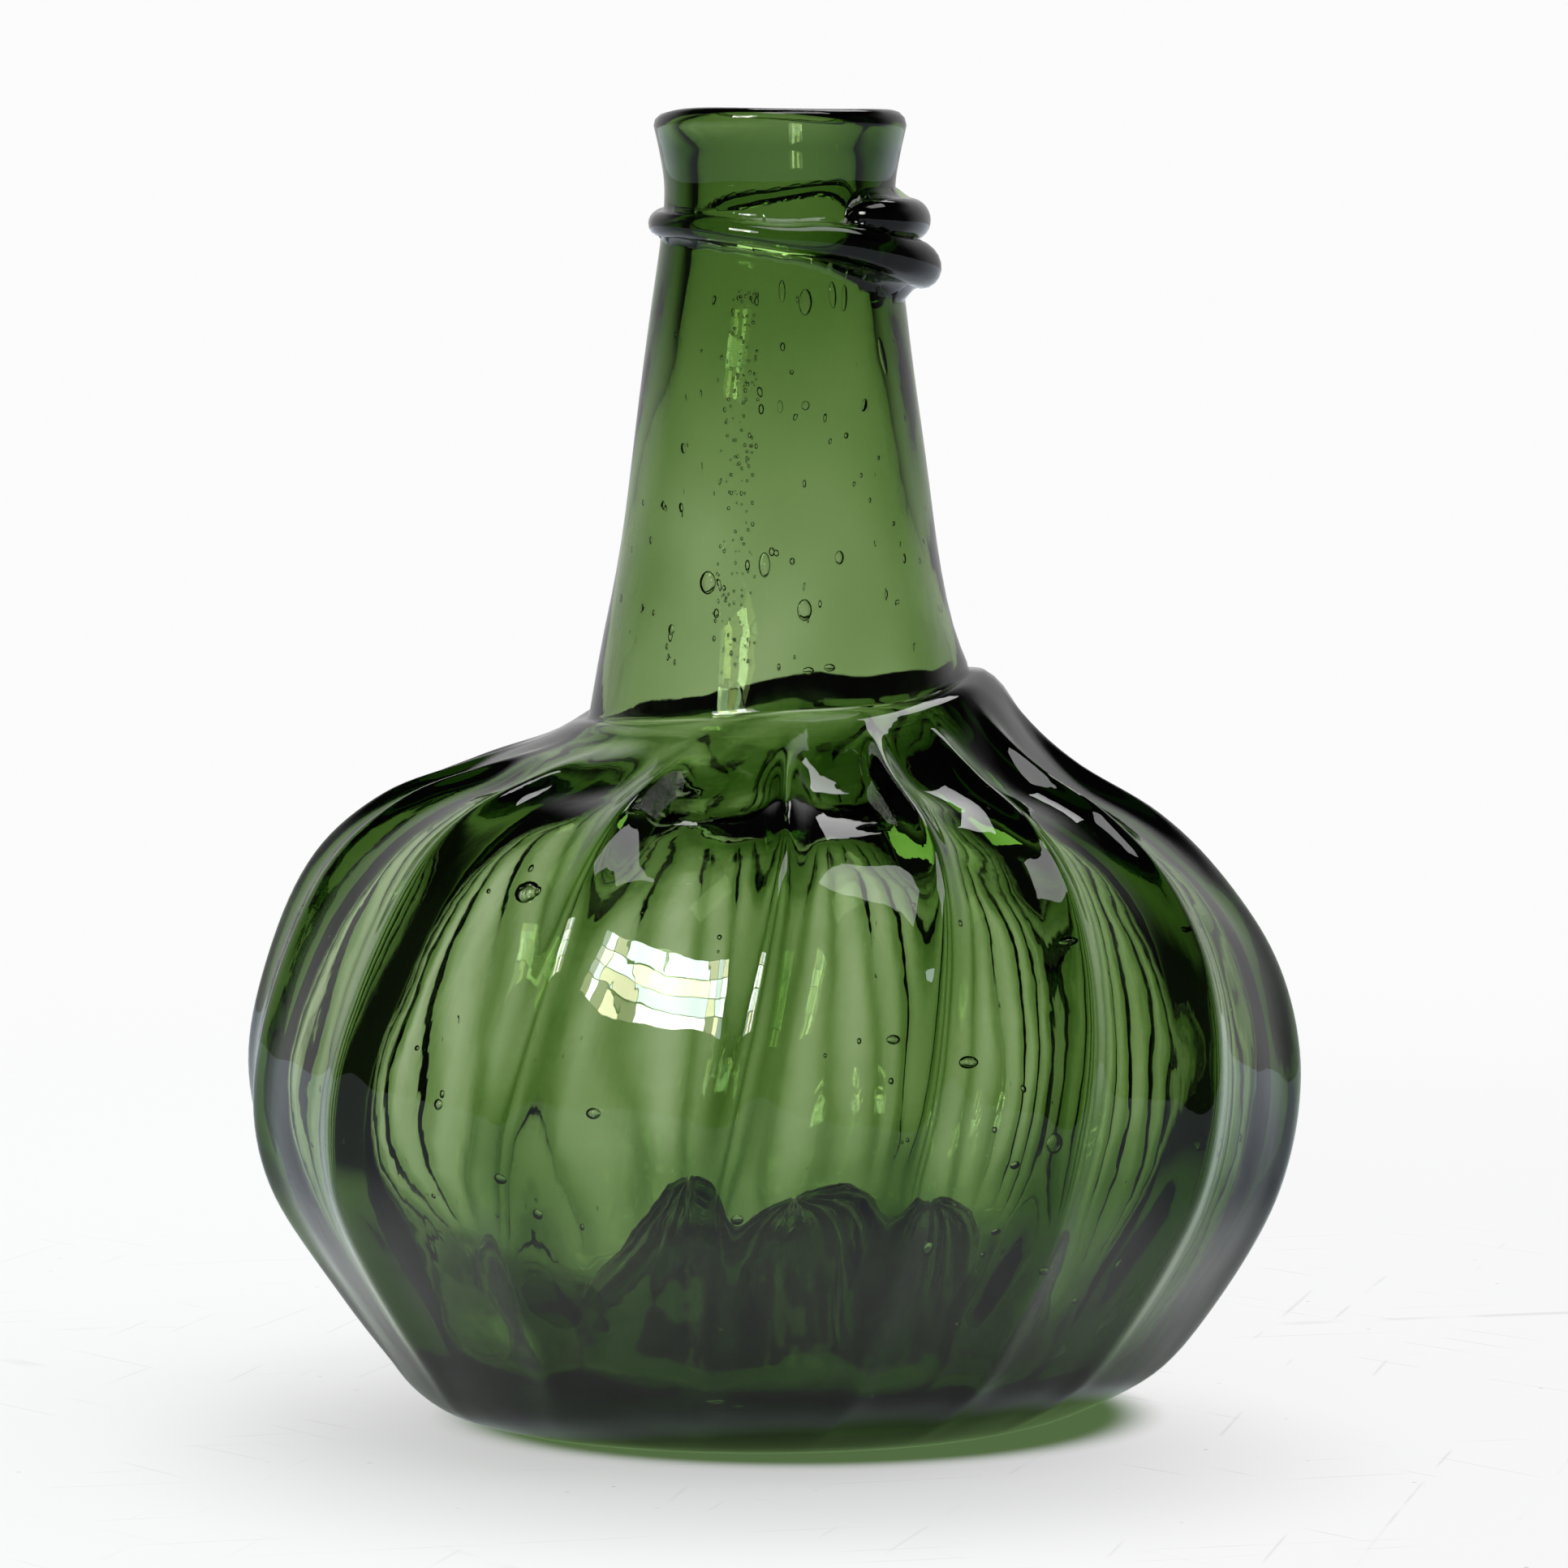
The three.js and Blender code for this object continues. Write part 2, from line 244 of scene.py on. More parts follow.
def outlines():
    # Outside and inside of the bottle as downward lines of radius and height. The inside
    # is the outside moved in by the wall, and by the trough depth where the glass is ribbed.
    lip, ledge, belly = bottle["totalHeight"], bottle["ledgeHeight"], bottle["bellyHeight"]
    waistRadius, footRadius = bottle["waistRadius"], bottle["neckFootRadius"]
    bellyRadius, restRadius = bottle["bellyRadius"], bottle["restOuterRadius"]
    waist = lip - bottle["waistBelowLip"]
    lipRadius = waistRadius + bottle["lipFlare"]
    half = bottle["lipWall"] / 2
    neck = [(lipRadius, lip - half),
            (waistRadius + bottle["lipFlare"] * bottle["flareHalfway"],
             lip - bottle["waistBelowLip"] / 2)]
    neck += [(mix(waistRadius, footRadius, out), mix(waist, ledge, down))
             for down, out in bottle["neckShape"]]
    body = [(mix(footRadius, bellyRadius, out), mix(belly, ledge, up))
            for out, up in bottle["shoulderShape"]]
    body += [(mix(restRadius, bellyRadius, out), belly * up) for out, up in bottle["lowerShape"]]
    restInner = restRadius - bottle["restWidth"]
    kick = [(restInner * out, bottle["kickHeight"] * up) for out, up in bottle["kickShape"]]
    share = np.arange(1, len(body) + 1) / len(body)
    bodyWall = mix(walls["ledge"], walls["belly"], smoothstep(share, *walls["thinning"]))
    atHeight = smoothstep(np.array(body)[:, 1], *walls["footHeights"])
    bodyWall = mix(walls["foot"], bodyWall, atHeight)
    neckEnd = (footRadius + walls["underLedge"][0], ledge - walls["underLedge"][1])
    neckDown = np.array(neck + [neckEnd])
    neckIn = inset(neckDown, np.interp(neckDown[:, 1], walls["neckHeights"], walls["neck"]))
    neckIn[0] = (lipRadius - bottle["lipWall"], lip - half)
    bodyIn = inset(body, bodyWall + troughDepth(share))
    gutter = np.array([(restRadius - bottle["restWidth"] / 2, walls["gutter"])])
    kickIn = inset(kick, walls["kick"])
    kickIn[-1] = (0, bottle["kickHeight"] + walls["kick"])
    inside = np.vstack([neckIn, bodyIn[1:-2], gutter, kickIn[1:]])
    return neck, body, kick, inside


def troughDepth(share):
    # How deep the glass lies between the ribs at a share of the way down the body: it fades
    # in under the ledge, and fades out towards the resting ring as a root.
    low = np.sqrt(np.maximum(1 - share, 0)) * smoothstep(1 - share, 0, ribs["footFade"])
    return ribs["depth"] * smoothstep(share, *ribs["fade"]) * low


def ribCrest(between):
    # Share of the trough depth that is filled: a narrow ridge at each rib, and the arc
    # left over when the panel between two ribs is flat.
    off = np.hypot(np.minimum(between, 1 - between), ribs["crestRound"]) - ribs["crestRound"]
    return mix(ridge(between, ribs["sharpness"]), 1 - 4 * off * (1 - off), ribs["flat"])


def ribTurn(count, height):
    # Direction of a place between the ribs: an even share of the round, a stray that
    # comes a few times round, and a swirl that grows with height.
    even = np.radians(ribs["start"] + count * 360 / ribs["count"])
    phase = np.radians(ribs["strayPhase"])
    stray = np.radians(ribs["stray"]) * np.cos(ribs["strayTimes"] * even + phase)
    swirl = np.radians(ribs["swirl"]) * (height - bottle["bellyHeight"]) / bottle["ledgeHeight"]
    return even + stray + swirl - math.pi / 2


def settle(x, y, z):
    # The lean of the whole bottle: sideways drifts by height, a climbing ledge and a
    # shoulder that sinks on the same side.
    belly, ledge = bottle["bellyHeight"], bottle["ledgeHeight"]
    rise = ledge - belly
    sink = belly + rise * lean["sinkMiddle"]
    lower = belly * lean["lowerReach"]
    towards = math.radians(lean["towards"])
    side = x * math.cos(towards) + y * math.sin(towards)
    foot = lean["footDrift"] * (1 - smoothstep(z, 0, belly * lean["footReach"]))
    body = lean["lowerDrift"] * smoothstep(z, 0, lower) * (1 - smoothstep(z, lower, belly))
    driftHeight = belly + rise * lean["driftMiddle"]
    shoulder = lean["shoulderDrift"] * hill(z, driftHeight, rise * lean["driftReach"])
    toLip = smoothstep(z, ledge, bottle["totalHeight"])
    neck = mix(lean["neckDrift"], lean["lipDrift"], toLip) * smoothstep(z, sink, ledge)
    lift = side * (lean["ledgeSlope"] * hill(z, ledge, rise * lean["ledgeReach"])
                   - lean["shoulderSlope"] * hill(z, sink, rise * lean["sinkReach"]))
    return x + (foot + body + shoulder + neck), y, z + lift


# The thread of glass round the neck, in drawn millimetres and degrees. Each station is
# degrees right of the front, share of the climb, thickness share, stand-off share and how
# many times taller than thick.
stringRim = {
    "drop": 10.7,  # of the lowest station below the waist
    "rise": 12.5,  # of a whole share of the climb
    "thickness": 6.9,
    "endTurn": 15,  # over which each end rounds off
    "reach": 1.35,  # neck rows this many half heights from its middle are carried round it
    "wrap": 115,  # and the farthest of them this far round
    "shareWeight": 100,  # degrees that a whole share counts for along the smooth curve
    "stations": [
        (98, 0, 0.72, 0.3, 1), (75, 0.02, 1, 0.42, 1), (45, 0.13, 0.98, 0.38, 1),
        (18, 0.25, 0.76, 0.2, 1.05), (0, 0.28, 0.64, 0.14, 1), (-45, 0.42, 0.56, 0.1, 1),
        (-90, 0.51, 0.5, 0.1, 1), (-130, 0.7, 0.54, 0.1, 0.62), (-150, 0.8, 0.56, 0.1, 0.5),
        (-180, 0.86, 0.56, 0.1, 0.5), (-212, 0.93, 0.58, 0.1, 0.5), (-240, 0.84, 0.62, 0.2, 0.9),
        (-260, 0.6, 0.78, 0.3, 1), (-285, 0.52, 0.88, 0.4, 1), (-305, 0.5, 0.9, 0.4, 1),
        (-326, 0.52, 0.76, 0.3, 1),
    ],
}


def trailPass(turn, height):
    # One pass of the thread at each turn: how far it stands off the neck, and the height
    # that a point of the neck is carried to round the thread's section.
    stations = np.array(stringRim["stations"])
    stations[:, 1:] *= stringRim["shareWeight"]
    line = smoothCurve(stations)[::-1]
    climb, thick, off, tall = (np.interp(turn, line[:, 0], shares) / stringRim["shareWeight"]
                               for shares in line[:, 1:].T)
    ends = np.minimum(turn - line[0, 0], line[-1, 0] - turn)
    free = np.clip(ends / stringRim["endTurn"], 0, 1)
    rounding = np.sqrt(1 - (1 - free) ** 2)
    half = thick * stringRim["thickness"] / 2 * rounding
    high = half * tall
    waist = bottle["totalHeight"] - bottle["waistBelowLip"]
    centre = waist - stringRim["drop"] + climb * stringRim["rise"]
    across = (height - centre) / np.maximum(high, 1e-6)
    inside = (np.abs(across) < stringRim["reach"]) & (free > 0)
    bend = np.radians(across / stringRim["reach"] * stringRim["wrap"])
    stand = np.where(inside, np.maximum(2 * off * half + half * np.cos(bend), 0), 0)
    return stand, np.where(inside, centre + high * np.sin(bend), height)


def trailOver(turn, height):
    # The thread laps over its own start, so two passes are laid and the prouder one kept.
    right = (np.degrees(turn) + 90) % 360
    one = np.where(right <= stringRim["stations"][0][0], right, right - 360)
    stand, place = trailPass(one, height)
    second, secondPlace = trailPass(one - 360, height)
    over = second > stand
    return np.where(over, second, stand), np.where(over, secondPlace, place)


# Small unevenness of hand-blown glass in drawn millimetres, as sums of waves with drawn
# directions. The inside is calmer near the lip, and the lowest stretch is flat.
uneven = {
    "seed": 7,
    "waves": 26,
    "outside": 0.1,
    "inside": 0.22,
    "shortest": 9,
    "longest": 34,
    "stretch": 1.6,  # how many times longer upwards
    "calmFrom": 150,
    "calmBy": 172,
    "calm": 0.35,
    "flatBelow": 6,
    "ledgeWave": 0.5,
    "ledgeWaves": [(3, 1, 0), (5, 0.6, 1)],  # times round, share and phase
    "ledgeReach": 4,
}


def waves(x, y, z, amount, salt):
    # A sum of sine waves, each with its own direction, length and phase, drawn out upwards.
    rng = np.random.default_rng(uneven["seed"] + salt)
    total = np.zeros_like(x)
    for _ in range(uneven["waves"]):
        length = rng.uniform(uneven["shortest"], uneven["longest"])
        way = rng.normal(size=3)
        way = way / np.linalg.norm(way) * 2 * math.pi / length
        phase = rng.uniform(0, 2 * math.pi)
        total += np.sin(way[0] * x + way[1] * y + way[2] * z / uneven["stretch"] + phase)
    return amount * total / math.sqrt(uneven["waves"] / 2)


# The broken ring that the pontil rod left under the pushed-up base. Each wave is its times
# round, share and phase.
scar = {
    "radius": 10.5,
    "thickness": 4.6,
    "radiusWaves": [(3, 0.07, 0.4), (7, 0.04, 0)],
    "hang": 0.72,
    "hangWaves": [(5, 0.28, 1)],
}

# How many rows of the mesh each stretch of the outline has, and in drawn millimetres where
# they crowd: near the scar and near the far side of the thread.
grid = {
    "kick": 28,
    "foot": 5,
    "body": 80,
    "lowerNeck": 14,
    "rim": 44,
    "upperNeck": 5,
    "lip": 6,
    "inside": 62,
    "rimBelowLip": (28, 4.6),  # where the rim's rows start and end
    "scarExtra": 3,
    "scarReach": 4,
    "threadHeight": 173,
    "threadExtra": 1.2,
    "threadReach": 4,
}


def bottleRows():
    # The whole outline as one line from the middle of the underside, up over the lip and
    # down to the middle of the inside, with the zone of each row.
    neck, body, kick, inside = outlines()
    foot, ledge, lip = bottle["neckFootRadius"], bottle["ledgeHeight"], bottle["totalHeight"]
    crown, crease = ([(foot + out, ledge + up) for out, up in bottle[name]]
                     for name in ("ledgeCrown", "crease"))
    kickLine, neckLine = smoothCurve(kick), smoothCurve(neck)
    rimLow, rimHigh = (lip - below for below in grid["rimBelowLip"])
    heights = neckLine[:, 1]
    lower = neckLine[(heights > ledge + bottle["neckStart"]) & (heights < rimLow)]
    rim = neckLine[(heights >= rimLow) & (heights < rimHigh)]
    upper = neckLine[heights >= rimHigh]
    nearScar = grid["scarExtra"] * hill(kickLine[:, 0], scar["radius"], grid["scarReach"])
    nearThread = grid["threadExtra"] * hill(rim[:, 1], grid["threadHeight"], grid["threadReach"])
    ring = np.linspace(kick[0][0], body[-1][0], grid["foot"])[1:-1]
    turn = np.pi * np.arange(1, grid["lip"]) / grid["lip"]
    half = bottle["lipWall"] / 2
    lipMiddle = bottle["waistRadius"] + bottle["lipFlare"] - half
    overLip = [lipMiddle + np.cos(turn) * half, lip - half + np.sin(turn) * half]
    parts = [
        ("kick", evenly(kickLine, grid["kick"], 1 + nearScar)[::-1][1:]),
        ("foot", np.column_stack([ring, np.zeros_like(ring)])),
        ("body", evenly(smoothCurve(crown + body), grid["body"])[::-1]),
        ("ledge", np.array(crease)),
        ("neck", evenly(lower, grid["lowerNeck"])[::-1]),
        ("neck", evenly(rim, grid["rim"], 1 + nearThread)[::-1]),
        ("neck", evenly(upper, grid["upperNeck"])[::-1]),
        ("lip", np.column_stack(overLip)),
        ("inside", evenly(smoothCurve(inside), grid["inside"])[:-1]),
    ]
    names, lines = zip(*parts)
    return np.vstack(lines), np.repeat(names, [len(line) for line in lines])


def bottleGrid():
    # One closed skin: rows of the outline by columns that crowd at the rib crests, moved
    # square to the outline by the ribs and the unevenness.
    line, zones = bottleRows()
    normal = squareTo(line)
    out, up = normal[:, :1], normal[:, 1:]
    inside = (zones == "inside")[:, None]
    step = np.arange(ribs["columns"]) / ribs["columns"]
    step = step - ribs["crowding"] * np.sin(2 * math.pi * step) / (2 * math.pi)
    count = (np.arange(ribs["count"])[:, None] + step[None]).ravel()
    between = np.tile(step, ribs["count"])
    radius = line[:, :1] + 0 * count
    height = line[:, 1:] + 0 * count
    under = np.isin(zones, ["kick", "foot"])[:, None]
    turn = ribTurn(count[None], np.where(under, 0, height))
    # Ribs: the outline holds at each crest and sinks by the trough depth between them.
    bodyRows = np.flatnonzero(zones == "body")
    steps = np.linalg.norm(np.diff(line[bodyRows], axis=0), axis=1)
    run = np.concatenate([[0], np.cumsum(steps)])
    sink = np.zeros_like(radius)
    sink[bodyRows] = troughDepth(1 - run / run[-1])[:, None] * (1 - ribCrest(between))[None]
    radius -= out * sink
    height -= up * sink
    # Each rib swells the inside a little too.
    reach = smoothstep(height, *ribs["innerFoot"]) * (1 - smoothstep(height, *ribs["innerTop"]))
    swell = ribs["inner"] * ridge(between, ribs["innerSharpness"])
    swell = np.where(inside, swell * reach, 0)
    radius += out * swell
    height += up * swell
    # Ledge: its height rises and falls round the neck.
    ripple = uneven["ledgeWave"] * roundWaves(turn, uneven["ledgeWaves"])
    outside = ~np.isin(zones, ["inside", "lip"])[:, None]
    height += ripple * hill(height, bottle["ledgeHeight"], uneven["ledgeReach"]) * outside
    # String rim: neck rows are carried round the thread.
    neckRows = zones == "neck"
    stand, place = trailOver(turn[neckRows], height[neckRows])
    radius[neckRows] += stand
    height[neckRows] = place
    # Pontil scar: a rough ring that hangs from the underside.
    kickRows = zones == "kick"
    half = scar["thickness"] / 2
    ringRadius = scar["radius"] * (1 + roundWaves(turn[kickRows], scar["radiusWaves"]))
    near = (radius[kickRows] - ringRadius) / half
    broken = scar["hang"] + roundWaves(turn[kickRows], scar["hangWaves"])
    height[kickRows] -= half * np.sqrt(np.clip(1 - near**2, 0, 1)) * broken
    x, y = radius * np.cos(turn), radius * np.sin(turn)
    x, y, height = settle(x, y, height)
    # Unevenness of both faces, and a wall that is thicker at the right.
    thick = walls["thinSide"] * x / bottle["bellyRadius"]
    calm = mix(1, uneven["calm"], smoothstep(height, uneven["calmFrom"], uneven["calmBy"]))
    inner = waves(x, y, height, uneven["inside"] * calm, salt=1) + thick
    bump = np.where(inside, inner, waves(x, y, height, uneven["outside"], salt=2))
    bump = np.where((zones == "foot")[:, None], 0, bump)
    bump = bump * np.minimum(height / uneven["flatBelow"], 1)
    x += out * np.cos(turn) * bump
    y += out * np.sin(turn) * bump
    height += up * bump
    return np.stack([x, y, height], axis=-1), zones


# Seeds, the air bubbles in the glass. The large ones are degrees right of the front, height,
# width and tallness in drawn millimetres. The small ones are drawn at random: how many, and
# between which degrees, heights, widths and times taller than wide.
seeds = {
    "seed": 3,
    "neighbours": 9,
    "heightWeight": 2,
    "depthShare": 0.5,
    "roomShare": 0.5,
    "flatness": (0.28, 0.55),  # of the large and the small ones
    "levels": (2, 1),  # how many times their faces are cut in four
    "small": [
        (100, (-180, 180), (8, 88), (0.35, 1.1), (0.9, 1.5)),
        (90, (-180, 180), (106, 160), (0.32, 0.85), (1.3, 2.6)),
        (170, (-21, -8), (106, 160), (0.2, 0.5), (1, 1.8)),
    ],
    "large": [
        (-32.2, 78, 3.9, 3.3), (-38.2, 49.7, 1.5, 1.5), (-29.5, 39.5, 1.7, 1.5),
        (-27, 34.7, 1.5, 1.7), (-4.3, 34.7, 1.7, 1.7), (12, 59.6, 1.9, 1.3),
        (21.1, 56.3, 3.2, 1.7), (30, 44.7, 2.6, 2.8), (36.3, 72.6, 3.3, 1.5),
        (54.3, 41.4, 2, 2.7), (43.1, 26.1, 1.8, 2.2), (-8.1, 7.5, 2.8, 1.5),
        (-5.6, 6.3, 2, 1.3), (38.6, 21.7, 1.3, 1.1), (24.5, 32, 1.5, 1.3),
        (17.4, 30.4, 1.7, 2.4), (25.7, 41.6, 1.5, 1.3), (-18.5, 49.7, 2.1, 1.5),
        (14.4, 157, 1.8, 3.8), (27.8, 158.8, 1.1, 3.8), (3.8, 160, 0.9, 3.4),
        (34.5, 157.6, 0.9, 3.9), (43.2, 142.4, 1.1, 2), (-5.2, 120.8, 1.6, 3.6),
        (-23.4, 118.2, 2.3, 3.4), (24.6, 121.8, 1.4, 2), (9.4, 114.6, 2, 3.1),
        (-37.4, 111.8, 1.1, 1.6), (55.7, 150.6, 1.4, 5.7), (3.3, 143, 0.8, 1.8),
        (13, 142.4, 1.1, 1.4), (-41.5, 136.6, 0.9, 1.6), (11.4, 106.4, 1.6, 1.1),
        (16.3, 106.8, 1.6, 1.1),
    ],
}


def ball(level):
    # A ball of triangles: an octahedron whose faces are cut in four and pushed out.
    points = np.array([(1, 0, 0), (-1, 0, 0), (0, 1, 0), (0, -1, 0), (0, 0, 1), (0, 0, -1)], float)
    faces = np.array([(0, 2, 4), (2, 1, 4), (1, 3, 4), (3, 0, 4),
                      (2, 0, 5), (1, 2, 5), (3, 1, 5), (0, 3, 5)])
    for _ in range(level):
        a, b, c = points[faces[:, 0]], points[faces[:, 1]], points[faces[:, 2]]
        cut = np.concatenate([(a + b) / 2, (b + c) / 2, (c + a) / 2])
        both = np.round(np.vstack([points, cut]), 9)
        points, place = np.unique(both, axis=0, return_inverse=True)
        place = place.ravel()
        a, b, c = place[faces].T
        ab, bc, ca = place[len(place) - len(cut):].reshape(3, -1)
        quarters = ((a, ab, ca), (ab, b, bc), (ca, bc, c), (ab, bc, ca))
        faces = np.vstack([np.column_stack(quarter) for quarter in quarters])
    return points / np.linalg.norm(points, axis=1)[:, None], faces


def seedPlaces():
    # Turn, height, width and tallness of each seed, the measured ones first.
    rng = np.random.default_rng(seeds["seed"])
    places = [np.array(seeds["large"])]
    for count, turns, heights, widths, stretches in seeds["small"]:
        width = rng.uniform(*widths, count)
        turn = rng.uniform(*turns, count)
        height = rng.uniform(*heights, count)
        tall = width * rng.uniform(*stretches, count)
        places.append(np.column_stack([turn, height, width, tall]))
    return np.vstack(places)


def nearby(places, spot):
    # Mean of the few places that lie nearest to a spot.
    order = np.argsort(np.linalg.norm(places - spot, axis=1))
    return places[order[:seeds["neighbours"]]].mean(0)


def seedMesh(rows, zones, middle):
    # Each seed hangs at a share of the wall's depth under the outer skin. The wall runs from
    # the mean of the nearest outer places to that of the nearest inner ones, and the seed is
    # flattened along it. Its faces look into the air.
    outer = rows[np.isin(zones, ["body", "neck", "ledge"])].reshape(-1, 3)
    inner = rows[zones == "inside"].reshape(-1, 3)
    balls = [ball(level) for level in seeds["levels"]]
    drawn = outer + middle
    points, faces, start = [], [], 0
    for n, (turn, height, width, tall) in enumerate(seedPlaces()):
        angle = math.radians(turn - 90)
        ray = np.array([math.cos(angle), math.sin(angle)])
        aside = drawn[:, 0] * ray[1] - drawn[:, 1] * ray[0]
        off = np.abs(aside) + seeds["heightWeight"] * np.abs(drawn[:, 2] - height)
        off[drawn[:, :2] @ ray < 0] = np.inf
        spot = off.argmin()
        skin = outer[spot]
        front, back = nearby(outer, skin), nearby(inner, skin)
        wall = np.linalg.norm(front - back)
        out = (front - back) / wall
        across = np.cross([0, 0, 1], out)
        across /= np.linalg.norm(across)
        up = np.cross(out, across)
        centre = skin - out * wall * seeds["depthShare"]
        centre = centre + up * (height - drawn[spot, 2]) / up[2] - across * aside[spot]
        kind = 0 if n < len(seeds["large"]) else 1
        deep = min(width * seeds["flatness"][kind], wall * seeds["roomShare"])
        shape, sides = balls[kind]
        shape = (shape[:, :1] * across * width + shape[:, 1:2] * up * tall
                 + shape[:, 2:] * out * deep)
        points.append(centre + shape / 2)
        faces.append(sides[:, ::-1] + start)
        start += len(shape)
    return np.vstack(points), np.vstack(faces)


def skinMesh(name, rows, airPoints, airFaces):
    # Quads between neighbouring rows, a fan from the end rows to their middle points, and
    # the seeds as small hollows.
    count, sides = rows.shape[:2]
    points = np.vstack([rows.reshape(-1, 3), rows[:1].mean(1), rows[-1:].mean(1), airPoints])
    i = np.arange(count - 1)[:, None] * sides
    j = np.arange(sides)[None]
    k = (j + 1) % sides
    quads = np.stack([i + j, i + k, i + sides + k, i + sides + j], axis=-1).reshape(-1, 4)
    j, k = j[0], k[0]
    base = (count - 1) * sides
    fanFirst = np.stack([k, j, np.full(sides, count * sides)], axis=-1)
    fanLast = np.stack([base + j, base + k, np.full(sides, count * sides + 1)], axis=-1)
    air = airFaces + count * sides + 2
    loops = np.concatenate([quads.ravel(), fanFirst.ravel(), fanLast.ravel(), air.ravel()])
    sizes = np.concatenate([np.full(len(quads), 4), np.full(2 * sides + len(air), 3)])
    starts = np.concatenate([[0], np.cumsum(sizes)[:-1]])
    mesh = bpy.data.meshes.new(name)
    mesh.vertices.add(len(points))
    mesh.vertices.foreach_set("co", points.astype(np.float32).ravel())
    mesh.loops.add(len(loops))
    mesh.loops.foreach_set("vertex_index", loops.astype(np.int32))
    mesh.polygons.add(len(sizes))
    mesh.polygons.foreach_set("loop_start", starts.astype(np.int32))
    mesh.update(calc_edges=True)
    mesh.polygons.foreach_set("use_smooth", np.ones(len(sizes), bool))
    mesh.validate()
    piece = bpy.data.objects.new(name, mesh)
    bpy.context.scene.collection.objects.link(piece)
    return piece


def makeBottle():
    # The drawing is centred, shrunk where it would stand out of the CAD's box, and scaled
    # to metres by the height.
    rows, zones = bottleGrid()
    size = np.array(cadBox[1] - cadBox[0])
    unit = size[2] / bottle["totalHeight"]
    low, high = rows.min((0, 1)), rows.max((0, 1))
    middle = np.array([(low[0] + high[0]) / 2, (low[1] + high[1]) / 2, low[2]])
    room = size / unit * bottle["boxShare"]
    rows = (rows - middle) * np.minimum(room / (high - low), 1)
    airPoints, airFaces = seedMesh(rows, zones, middle)
    piece = skinMesh("bottleGlass", rows * unit, airPoints * unit, airFaces)
    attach(piece, "root")
    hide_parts("first_gather", "ribbed_gather", "string_rim", "pontil_scar")
    print("bottle", len(piece.data.polygons), "faces, wall rows", len(zones))
    return piece


# Small helpers for node trees. They take sockets or plain numbers, and all but the first
# give sockets.
def feed(tree, socket, value):
    # A number is set, a socket is linked.
    if isinstance(value, (int, float)):
        socket.default_value = value
    else:
        tree.links.new(value, socket)


def calc(tree, operation, a, b=0.0):
    # The result of one operation on two values.
    node = tree.nodes.new("ShaderNodeMath")
    node.operation = operation
    feed(tree, node.inputs[0], a)
    feed(tree, node.inputs[1], b)
    return node.outputs[0]


def ramp(tree, value, low, high, atLow=0.0, atHigh=1.0):
    # A smooth climb from one value at low to another at high.
    node = tree.nodes.new("ShaderNodeMapRange")
    node.interpolation_type = "SMOOTHSTEP"
    for k, number in enumerate((value, low, high, atLow, atHigh)):
        feed(tree, node.inputs[k], number)
    return node.outputs["Result"]


def blend(tree, share, a, b):
    # The value a share of the way from a to b.
    node = tree.nodes.new("ShaderNodeMix")
    node.data_type = "FLOAT"
    for k, number in zip((0, 2, 3), (share, a, b)):
        feed(tree, node.inputs[k], number)
    return node.outputs[0]


def tinge(tree, share, a, b):
    # The colour a share of the way from a, three numbers, to b, three numbers or a socket.
    node = tree.nodes.new("ShaderNodeMix")
    node.data_type = "RGBA"
    feed(tree, node.inputs[0], share)
    node.inputs[6].default_value = (*a, 1)
    if isinstance(b, tuple):
        node.inputs[7].default_value = (*b, 1)
    else:
        tree.links.new(b, node.inputs[7])
    return node.outputs[2]


def noise(tree, place, scale, detail):
    # Soft random values at each place, so many to the metre.
    node = tree.nodes.new("ShaderNodeTexNoise")
    node.inputs["Scale"].default_value = scale
    node.inputs["Detail"].default_value = detail
    tree.links.new(place, node.inputs["Vector"])
    return node.outputs["Fac"]


def twist(tree, place, angle):
    # Places turned about the upright.
    node = tree.nodes.new("ShaderNodeVectorRotate")
    node.rotation_type = "Z_AXIS"
    tree.links.new(place, node.inputs["Vector"])
    feed(tree, node.inputs["Angle"], angle)
    return node.outputs[0]


def squeeze(tree, place, shares):
    # Places drawn together by a share along each axis, which draws out a noise there.
    node = tree.nodes.new("ShaderNodeVectorMath")
    node.operation = "MULTIPLY"
    node.inputs[1].default_value = shares
    tree.links.new(place, node.inputs[0])
    return node.outputs[0]


def awayFrom(tree, place, middle):
    # Distance of each place from a point of the table.
    node = tree.nodes.new("ShaderNodeVectorMath")
    node.operation = "DISTANCE"
    tree.links.new(place, node.inputs[0])
    node.inputs[1].default_value = (*middle, 0)
    return node.outputs["Value"]


def apart(tree, place):
    # The three coordinates of each place.
    node = tree.nodes.new("ShaderNodeSeparateXYZ")
    tree.links.new(place, node.inputs[0])
    return node.outputs


def pathShares(tree):
    # Whether the light was mirrored by the glass, whether by its outer face alone, and
    # whether it lit a matt surface. The depths are whole numbers, so a half parts 0 and 1.
    path = tree.nodes.new("ShaderNodeLightPath")
    mirrored = calc(tree, "GREATER_THAN", path.outputs["Glossy Depth"], 0.5)
    uncrossed = calc(tree, "LESS_THAN", path.outputs["Transmission Depth"], 0.5)
    outer = calc(tree, "MULTIPLY", mirrored, uncrossed)
    matt = calc(tree, "GREATER_THAN", path.outputs["Diffuse Depth"], 0.5)
    return path.outputs["Is Camera Ray"], mirrored, outer, matt


